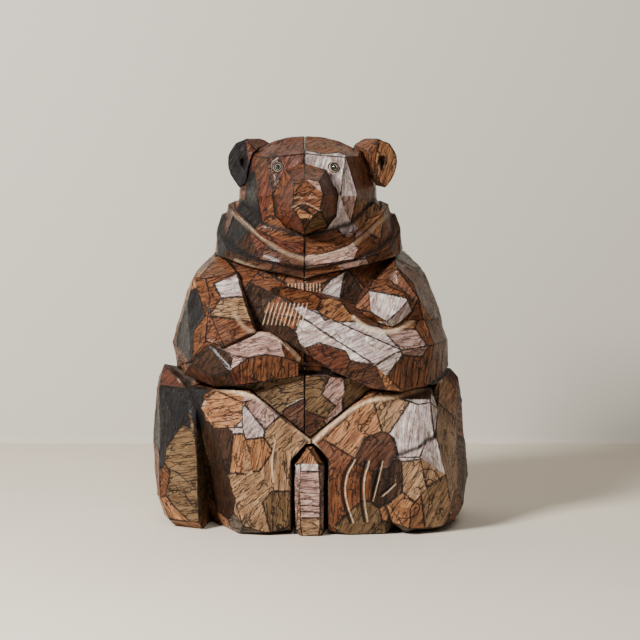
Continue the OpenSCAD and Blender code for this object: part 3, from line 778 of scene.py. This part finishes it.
def group(name, inputs, outputs):
    """A new shader node group with named sockets; inputs are (name, kind, default)."""
    made = bpy.data.node_groups.new(name, "ShaderNodeTree")
    for label, kind, default in inputs:
        socket = made.interface.new_socket(label, in_out="INPUT", socket_type="NodeSocket" + kind)
        if default is not None:
            socket.default_value = default
    for label, kind in outputs:
        made.interface.new_socket(label, in_out="OUTPUT", socket_type="NodeSocket" + kind)
    tree = Tree(made)
    return tree, tree.node("NodeGroupInput").outputs, tree.node("NodeGroupOutput").inputs


def stained_wood_group():
    """Stained, inked and waxed knife work.

    Grain and pen strokes run along the grain map, dark wax lies in the cuts, inner creases are
    darkened, dab borders are inked, and outer creases are rubbed pale. Raised rims are pale, partly
    rubbed wood and partly a painted highlight, and ridges carry a painted highlight.
    """
    if "Stained wood" in bpy.data.node_groups:
        return bpy.data.node_groups["Stained wood"]
    tree, given, out = group("Stained wood", (
        ("Tone", "Color", (0.2, 0.1, 0.05, 1)), ("Grain", "Vector", None),
        ("Place", "Vector", None), ("Outer", "Float", NO_CREASE), ("Inner", "Float", NO_CREASE),
        ("Border", "Float", FAR), ("Sunk", "Float", 0.0), ("Raised", "Float", 0.0),
        ("Strokes", "Float", 0.7), ("Wear", "Float", 0.6), ("Rim", "Color", (0.7, 0.5, 0.3, 1)),
        ("Wax", "Color", (0.01, 0.01, 0.01, 1)),
    ), (("Color", "Color"), ("Roughness", "Float"), ("Height", "Float")))
    grain, place = given["Grain"], given["Place"]
    fibre = tree.noise(grain, 1400, (0.10, 1.5, 1), 6, 0.65)
    figure = tree.noise(grain, 260, (0.22, 1.3, 1), 4)
    pen = tree.noise(grain, 1000, (0.07, 1.3, 1), 3, 0.6)
    patch = tree.noise(place, 110, detail=3)
    blotch = tree.noise(place, 360, detail=5, rough=0.65)
    fleck = tree.noise(place, 1500, detail=3)
    wobble = tree.math("MULTIPLY", tree.math("SUBTRACT", blotch, 0.5), 0.0030)
    stretched = tree.node("ShaderNodeVectorMath", {0: grain, 1: (0.30, 1.6, 1)},
                          operation="MULTIPLY").outputs[0]
    stir = tree.node("ShaderNodeTexNoise", {"Vector": place, "Scale": 230.0}).outputs["Color"]
    stir = tree.node("ShaderNodeVectorMath", {0: stir, "Scale": 0.0045},
                     operation="SCALE").outputs[0]
    bent = tree.node("ShaderNodeVectorMath", {0: stretched, 1: stir}, operation="ADD").outputs[0]
    checks = tree.node("ShaderNodeTexVoronoi", {"Vector": bent, "Scale": 150.0},
                       feature="DISTANCE_TO_EDGE").outputs["Distance"]

    # Dark figure, pale fibres and dark blotches in the stain.
    now = tree.tint(tree.ramp(figure, 0.35, 0.68), given["Tone"], (0.52, 0.44, 0.40))
    now = tree.tint(tree.ramp(fibre, 0.45, 0.70, 0, 0.75), now, (1.75, 1.6, 1.5))
    now = tree.tint(tree.ramp(blotch, 0.50, 0.68, 0, 0.6), now, (0.42, 0.36, 0.34))
    # Pen strokes in patches and cracks between them, both fainter on pale tones, which are
    # mostly the painted highlights.
    strokes = tree.math("MULTIPLY", tree.ramp(pen, 0.555, 0.60), tree.ramp(patch, 0.36, 0.50))
    cracks = tree.math("MULTIPLY", tree.ramp(checks, 0.012, 0.06, 1, 0),
                       tree.ramp(patch, 0.50, 0.58, 1, 0))
    strokes = tree.math("MAXIMUM", strokes, cracks)
    strokes = tree.math("MULTIPLY", strokes, given["Strokes"])
    light = tree.node("ShaderNodeRGBToBW", {0: given["Tone"]}).outputs[0]
    strokes = tree.math("MULTIPLY", strokes, tree.ramp(light, 0.18, 0.50, 1, 0.60))
    # Lilac mottle in patches over the pale tones, which are mostly the painted highlights.
    highlight_mottle = tree.math("MULTIPLY", tree.ramp(light, 0.20, 0.50), tree.ramp(patch, 0.40, 0.62))
    now = tree.tint(highlight_mottle, now, (0.66, 0.58, 0.62))
    now = tree.mix(strokes, now, given["Wax"])
    scratch = tree.math("MULTIPLY", tree.ramp(fibre, 0.64, 0.69), tree.ramp(patch, 0.48, 0.6, 1, 0))
    now = tree.mix(tree.math("MULTIPLY", scratch, 0.35), now, given["Rim"])

    # Ink on borders and outer corners, darker inner corners, wax in the cuts, rubbed outer edges,
    # and a pale lip and a painted highlight on raised lines.
    edge = tree.math("MINIMUM", tree.math("ABSOLUTE", given["Border"]), given["Outer"])
    inked = tree.ramp(tree.math("ADD", edge, wobble), 0.0002, 0.0010, 0.95, 0)
    # Darker towards the wax colour within about 3 mm of an inner crease.
    inner_crease_dark = tree.ramp(tree.math("ADD", given["Inner"], wobble), 0.0, 0.0030, 0.9, 0)
    rubbed = tree.ramp(tree.math("ADD", given["Outer"], wobble), 0.0004, 0.0016, 1, 0)
    rubbed = tree.math("MULTIPLY", rubbed, tree.ramp(patch, 0.46, 0.60))
    rubbed = tree.math("MULTIPLY", rubbed, given["Wear"])
    now = tree.tint(rubbed, now, (2.4, 2.2, 2.0))
    now = tree.mix(inked, now, given["Wax"])
    now = tree.mix(inner_crease_dark, now, given["Wax"])
    now = tree.mix(tree.ramp(given["Sunk"], 0.15, 0.55, 0, 0.92), now, given["Wax"])
    # Painted highlight on raised rims and ridges, towards half tone and half rim colour.
    raised_highlight = tree.ramp(given["Raised"], 0.02, 0.5, 0, 0.45)
    now = tree.mix(raised_highlight, now, tree.mix(0.5, given["Tone"], given["Rim"]))
    # A pale lip on the top of a rim, partly rubbed wood and partly a painted highlight.
    lip = tree.math("MULTIPLY", tree.ramp(given["Raised"], 0.45, 0.9),
                    tree.ramp(blotch, 0.35, 0.6, 1, 0.3))
    now = tree.mix(lip, now, given["Rim"])

    tree.feed(out["Color"], now)
    rough = tree.math("ADD", tree.ramp(blotch, 0.3, 0.7, 0.27, 0.50),
                      tree.math("MULTIPLY", strokes, 0.15))
    tree.feed(out["Roughness"], tree.math("ADD", rough, tree.math("MULTIPLY", inner_crease_dark, 0.2)))
    high = tree.math("MULTIPLY", fibre, 0.5)
    high = tree.math("SUBTRACT", high, tree.math("MULTIPLY", strokes, 0.9))
    high = tree.math("SUBTRACT", high, tree.math("MULTIPLY", inked, 0.6))
    tree.feed(out["Height"], tree.math("ADD", high, tree.math("MULTIPLY", fleck, 0.25)))
    return bpy.data.node_groups["Stained wood"]


def new_material(name, base, roughness, **sockets):
    """A material with one Principled shader, whose plain numbers are set on its sockets."""
    made = bpy.data.materials.new(name)
    made.use_nodes = True
    made.node_tree.nodes.clear()
    tree = Tree(made.node_tree)
    shader = tree.node("ShaderNodeBsdfPrincipled", {"Roughness": roughness})
    shader.inputs["Base Color"].default_value = (*base, 1)
    for socket, value in sockets.items():
        shader.inputs[socket.replace("_", " ")].default_value = value
    output = tree.node("ShaderNodeOutputMaterial")
    made.node_tree.links.new(shader.outputs[0], output.inputs["Surface"])
    return made, tree, shader


# Strokes of the pen and wear of the edges, for each finish.
WOOD_FINISH = {
    "wood_red": (0.95, 0.45), "wood_warm": (0.90, 0.60),
    "wood_dark": (0.90, 0.60), "wood_pale": (0.85, 0.55),
}


def wood_material(slot):
    """Stained wood for one slot; the tone comes from the skin's own fields."""
    name = "carved_" + slot
    if name in bpy.data.materials:
        return bpy.data.materials[name]
    finish = bpy.context.scene.bear_finish
    strokes, wear = WOOD_FINISH[slot]
    made, tree, shader = new_material(name, finish.brown, 0.35, Coat_Weight=0.08,
                                      Coat_Roughness=0.13, Specular_IOR_Level=0.13)
    wood = tree.node("ShaderNodeGroup", node_tree=stained_wood_group())
    for field in ("Outer", "Inner", "Border", "Sunk", "Raised"):
        read = tree.node("ShaderNodeAttribute", attribute_name=field.lower())
        tree.feed(wood.inputs[field], read.outputs["Fac"])
    tone = tree.node("ShaderNodeAttribute", attribute_name="tone")
    tree.feed(wood.inputs["Tone"], tone.outputs["Color"])
    tree.feed(wood.inputs["Grain"], tree.node("ShaderNodeUVMap", uv_map="grain").outputs[0])
    tree.feed(wood.inputs["Place"], tree.node("ShaderNodeTexCoord").outputs["Object"])
    wood.inputs["Strokes"].default_value = strokes
    wood.inputs["Wear"].default_value = wear
    wood.inputs["Rim"].default_value = (*finish.rim, 1)
    wood.inputs["Wax"].default_value = (*finish.wax, 1)
    bump = tree.node("ShaderNodeBump", {
        "Strength": 0.95, "Distance": 0.0006, "Height": wood.outputs["Height"],
    })
    tree.feed(shader.inputs["Base Color"], wood.outputs["Color"])
    tree.feed(shader.inputs["Roughness"], wood.outputs["Roughness"])
    tree.feed(shader.inputs["Normal"], bump.outputs[0])
    return made


def fitting_material(name, base, roughness, shade, scale, **sockets):
    """Turned metal, glass, dowel wood or paper: its colour and gloss vary a little over it.

    Gives the material, its tree, its shader and the colour that feeds the shader.
    """
    made, tree, shader = new_material(name, base, roughness, **sockets)
    place = tree.node("ShaderNodeTexCoord").outputs["Object"]
    cloud = tree.noise(place, scale, detail=3)
    darker = tuple(c * shade for c in base)
    colour_now = tree.mix(tree.ramp(cloud, 0.35, 0.7), (*base, 1), (*darker, 1))
    tree.feed(shader.inputs["Base Color"], colour_now)
    tree.feed(shader.inputs["Roughness"], tree.ramp(cloud, 0.3, 0.7, roughness, roughness * 1.5))
    return made, tree, shader, colour_now


def backdrop_paper(floor, wall, line=0.004):
    """Matt paper, one tone on the floor and one above "line", seen from its front only, so
    that it never hides the figure."""
    made, tree, shader, below = fitting_material("backdrop_paper", floor, 0.85, 0.95, 3)
    place = tree.node("ShaderNodeTexCoord").outputs["Object"]
    high = tree.node("ShaderNodeSeparateXYZ", {0: place}).outputs[2]
    tree.feed(shader.inputs["Base Color"],
              tree.mix(tree.ramp(high, 0.0, line), below, (*wall, 1)))
    output = next(n for n in made.node_tree.nodes if n.type == "OUTPUT_MATERIAL")
    paper = output.inputs["Surface"].links[0].from_socket
    clear = tree.node("ShaderNodeBsdfTransparent").outputs[0]
    side = tree.node("ShaderNodeNewGeometry").outputs["Backfacing"]
    seen = tree.node("ShaderNodeMixShader", {0: side, 1: paper, 2: clear})
    tree.feed(output.inputs["Surface"], seen.outputs[0])
    return made


def dress(names, material):
    """Give carried-over CAD nodes a material, by their material slots."""
    for name in names:
        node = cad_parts[name]
        if not node.material_slots:
            node.data.materials.append(material)
        for place in node.material_slots:
            place.material = material


# ---------------------------------------------------------------- operators

def carve_all(*names):
    """Carve each named block, and give what an operator that is done gives."""
    for name in names:
        carve(name)
    return {"FINISHED"}


class BEAR_OT_head(Operator):
    """Carve the two halves of the head, the ears and the muzzle"""
    bl_idname = "bear.head"
    bl_label = "Head"

    def execute(self, context):
        return carve_all("head_right", "head_left", "ear_right", "ear_left", "muzzle")


class BEAR_OT_ruff(Operator):
    """Carve the neck ruff"""
    bl_idname = "bear.ruff"
    bl_label = "Ruff"

    def execute(self, context):
        return carve_all("ruff_right", "ruff_left")


class BEAR_OT_torso(Operator):
    """Carve the two halves of the torso"""
    bl_idname = "bear.torso"
    bl_label = "Torso"

    def execute(self, context):
        return carve_all("torso_right", "torso_left")


class BEAR_OT_arms(Operator):
    """Carve the upper arms, the crossed forearms and the tucked hand"""
    bl_idname = "bear.arms"
    bl_label = "Arms"

    def execute(self, context):
        return carve_all(
            "upper_arm_right", "upper_arm_left", "forearm_right", "forearm_left", "hand_right",
        )


class BEAR_OT_haunches(Operator):
    """Carve the haunches with their feet, and the tongue block between them"""
    bl_idname = "bear.haunches"
    bl_label = "Haunches"

    def execute(self, context):
        return carve_all("haunch_right", "haunch_left", "tongue")


def turned_ring(side):
    """An eye ring turned from a profile carried round the eye's axis.

    The profile has two rounded beads with a dark groove between them: its height over the
    front plane is bead * |sin(2 pi t)| for t from 0 at the hole to 1 at the outside.
    """
    name = "eye_ring_" + side
    co, _ = merged_mesh(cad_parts[name])
    sign = -1 if side == "right" else 1
    axis = np.array([sign * EYE_LOOK[0], EYE_LOOK[1], EYE_LOOK[2]])
    axis /= np.linalg.norm(axis)
    along = co @ axis
    middle = (co.max(0) + co.min(0)) / 2
    middle += axis * ((along.max() + along.min()) / 2 - middle @ axis)
    back = along.min() - middle @ axis
    front = along.max() - middle @ axis
    radius = np.linalg.norm(co - middle - ((co - middle) @ axis)[:, None] * axis, axis=1)
    r0, r1 = radius.min(), radius.max()
    t = np.linspace(0, 1, RING_POINTS)
    bead = 0.22 * (r1 - r0)
    r = np.concatenate([[r0], r0 + (r1 - r0) * t, [r1]])
    h = np.concatenate([[back], front - bead + bead * np.abs(np.sin(2 * math.pi * t)), [back]])
    turn = np.linspace(0, 2 * math.pi, RING_STEPS, endpoint=False)
    u = np.cross(axis, [0, 0, 1.0])
    u /= np.linalg.norm(u)
    v = np.cross(axis, u)
    ring = np.cos(turn)[:, None, None] * u + np.sin(turn)[:, None, None] * v
    co = (middle + ring * r[None, :, None] + h[None, :, None] * axis).reshape(-1, 3)
    wide = len(r)
    i, j = np.meshgrid(np.arange(RING_STEPS), np.arange(wide), indexing="ij")
    after, outside = (i + 1) % RING_STEPS, (j + 1) % wide
    a, b = i * wide + j, after * wide + j
    c, d = after * wide + outside, i * wide + outside
    faces = np.stack([a, b, c, d], 2).reshape(-1, 4)
    mesh = bpy.data.meshes.new(name + "_turned")
    mesh.from_pydata(co, [], faces)
    mesh.polygons.foreach_set("use_smooth", np.ones(len(faces), bool))
    groove = np.concatenate([[0], np.exp(-((t - 0.5) / 0.30) ** 2), [0]])
    layer = mesh.attributes.new("groove", "FLOAT", "POINT")
    layer.data.foreach_set("value", np.tile(groove, RING_STEPS).astype(np.float32))
    if signed_volume(co, faces) < 0:
        mesh.flip_normals()
    mesh.update()
    piece = bpy.data.objects.new(name + "_turned", mesh)
    bpy.context.scene.collection.objects.link(piece)
    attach(piece, BODY)
    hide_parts(name)
    return piece


def signed_volume(co, faces):
    """Volume inside a closed mesh of four-sided faces, negative if it is inside out."""
    a, b, c, d = (co[faces[:, k]] for k in range(4))
    return (np.cross(a, b) * c).sum() + (np.cross(a, c) * d).sum()


class BEAR_OT_eyes(Operator):
    """Turn the eye rings and finish the glass beads"""
    bl_idname = "bear.eyes"
    bl_label = "Eyes"

    def execute(self, context):
        finish = context.scene.bear_finish
        brass, tree, shader, bright = fitting_material(
            "turned_brass", finish.ivory, 0.30, 0.75, 900, Metallic=0.35,
        )
        groove = tree.node("ShaderNodeAttribute", attribute_name="groove").outputs["Fac"]
        tree.feed(shader.inputs["Base Color"],
                  tree.mix(tree.ramp(groove, 0.12, 0.42), bright, (*finish.wax, 1)))
        for side in ("right", "left"):
            turned_ring(side).data.materials.append(brass)
        glass = fitting_material("black_glass", finish.glass, 0.05, 0.6, 400, Coat_Weight=0.6)[0]
        dress(("eye_bead_right", "eye_bead_left"), glass)
        return {"FINISHED"}


class BEAR_OT_dowels(Operator):
    """Finish the beech dowels inside the joints"""
    bl_idname = "bear.dowels"
    bl_label = "Dowels"

    def execute(self, context):
        beech = fitting_material("bare_beech", context.scene.bear_finish.beech, 0.6, 0.75, 500)[0]
        dress([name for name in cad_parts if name.endswith("_dowels")], beech)
        return {"FINISHED"}


def area_light(name, at, aim, size, power, tint):
    """A square soft light at "at" that faces "aim"."""
    data = bpy.data.lights.new(name, "AREA")
    data.size = size
    data.energy = power
    data.color = tint
    lamp = bpy.data.objects.new(name, data)
    lamp.location = at
    lamp.rotation_euler = (Vector(aim) - Vector(at)).to_track_quat("-Z", "Y").to_euler()
    bpy.context.scene.collection.objects.link(lamp)


class BEAR_OT_stage(Operator):
    """Set out the floor, the wall, the lights and the camera"""
    bl_idname = "bear.stage"
    bl_label = "Stage"

    def execute(self, context):
        stage = context.scene.bear_stage
        # Profile from the floor, round a quarter circle, up the wall, carried across in x.
        turn = np.linspace(0, math.pi / 2, 13)
        radius, reach, height = 0.006, 3.0, 2.2
        y = np.concatenate([[-reach], stage.wall - radius + radius * np.sin(turn), [stage.wall]])
        z = np.concatenate([[0.0], radius - radius * np.cos(turn), [height]])
        x = np.array([-reach, reach])
        grid = np.stack(np.broadcast_arrays(x[:, None], y[None], z[None]), 2).reshape(-1, 3)
        row = np.arange(len(y) - 1)
        faces = np.stack([row, row + len(y), row + len(y) + 1, row + 1], 1)
        mesh = bpy.data.meshes.new("backdrop")
        mesh.from_pydata(grid, [], faces)
        mesh.polygons.foreach_set("use_smooth", np.ones(len(faces), bool))
        backdrop = bpy.data.objects.new("backdrop", mesh)
        context.scene.collection.objects.link(backdrop)
        mesh.materials.append(backdrop_paper(stage.floor, stage.paper))

        middle = (0, 0, stage.target)
        area_light("key", (-0.66, -0.74, 0.72), middle, 0.24, 25.5, (1.0, 0.97, 0.93))
        area_light("sheen", (0.20, -1.15, 1.05), middle, 0.5, 5, (1.0, 0.97, 0.94))
        world = bpy.data.worlds.new("studio")
        world.use_nodes = True
        world.node_tree.nodes["Background"].inputs[0].default_value = (0.86, 0.87, 0.86, 1)
        world.node_tree.nodes["Background"].inputs[1].default_value = 0.12
        context.scene.world = world

        data = bpy.data.cameras.new("camera")
        data.lens = 129
        data.shift_x = 0.0148
        data.shift_y = 0.0189
        camera = bpy.data.objects.new("camera", data)
        camera.location = (
            0, -stage.distance * math.cos(stage.elevation),
            stage.target + stage.distance * math.sin(stage.elevation),
        )
        camera.rotation_euler = (math.pi / 2 - stage.elevation, 0, 0)
        context.scene.collection.objects.link(camera)
        context.scene.camera = camera
        return {"FINISHED"}


class BEAR_PT_panel(Panel):
    """Buttons that build the bear, and its colours and sizes"""
    bl_idname = "BEAR_PT_panel"
    bl_label = "Carved Bear"
    bl_space_type = "VIEW_3D"
    bl_region_type = "UI"
    bl_category = "Carved Bear"

    def draw(self, context):
        for made in OPERATORS:
            self.layout.operator(made.bl_idname)
        for settings in ("bear_carving", "bear_finish", "bear_stage"):
            group_now = getattr(context.scene, settings)
            for name in type(group_now).__annotations__:
                self.layout.prop(group_now, name)


OPERATORS = (
    BEAR_OT_stage, BEAR_OT_head, BEAR_OT_ruff, BEAR_OT_torso, BEAR_OT_arms,
    BEAR_OT_haunches, BEAR_OT_eyes, BEAR_OT_dowels,
)
SETTINGS = {"bear_finish": BearFinish, "bear_carving": BearCarving, "bear_stage": BearStage}
CLASSES = (*SETTINGS.values(), *OPERATORS, BEAR_PT_panel)


def register():
    for made in CLASSES:
        bpy.utils.register_class(made)
    for name, made in SETTINGS.items():
        setattr(bpy.types.Scene, name, PointerProperty(type=made))


def unregister():
    for name in SETTINGS:
        delattr(bpy.types.Scene, name)
    for made in reversed(CLASSES):
        bpy.utils.unregister_class(made)


def main():
    register()
    for made in OPERATORS:
        family, name = made.bl_idname.split(".")
        if getattr(getattr(bpy.ops, family), name)() != {"FINISHED"}:
            raise RuntimeError(made.bl_label + " could not be made")


if __name__ == "__main__":
    main()
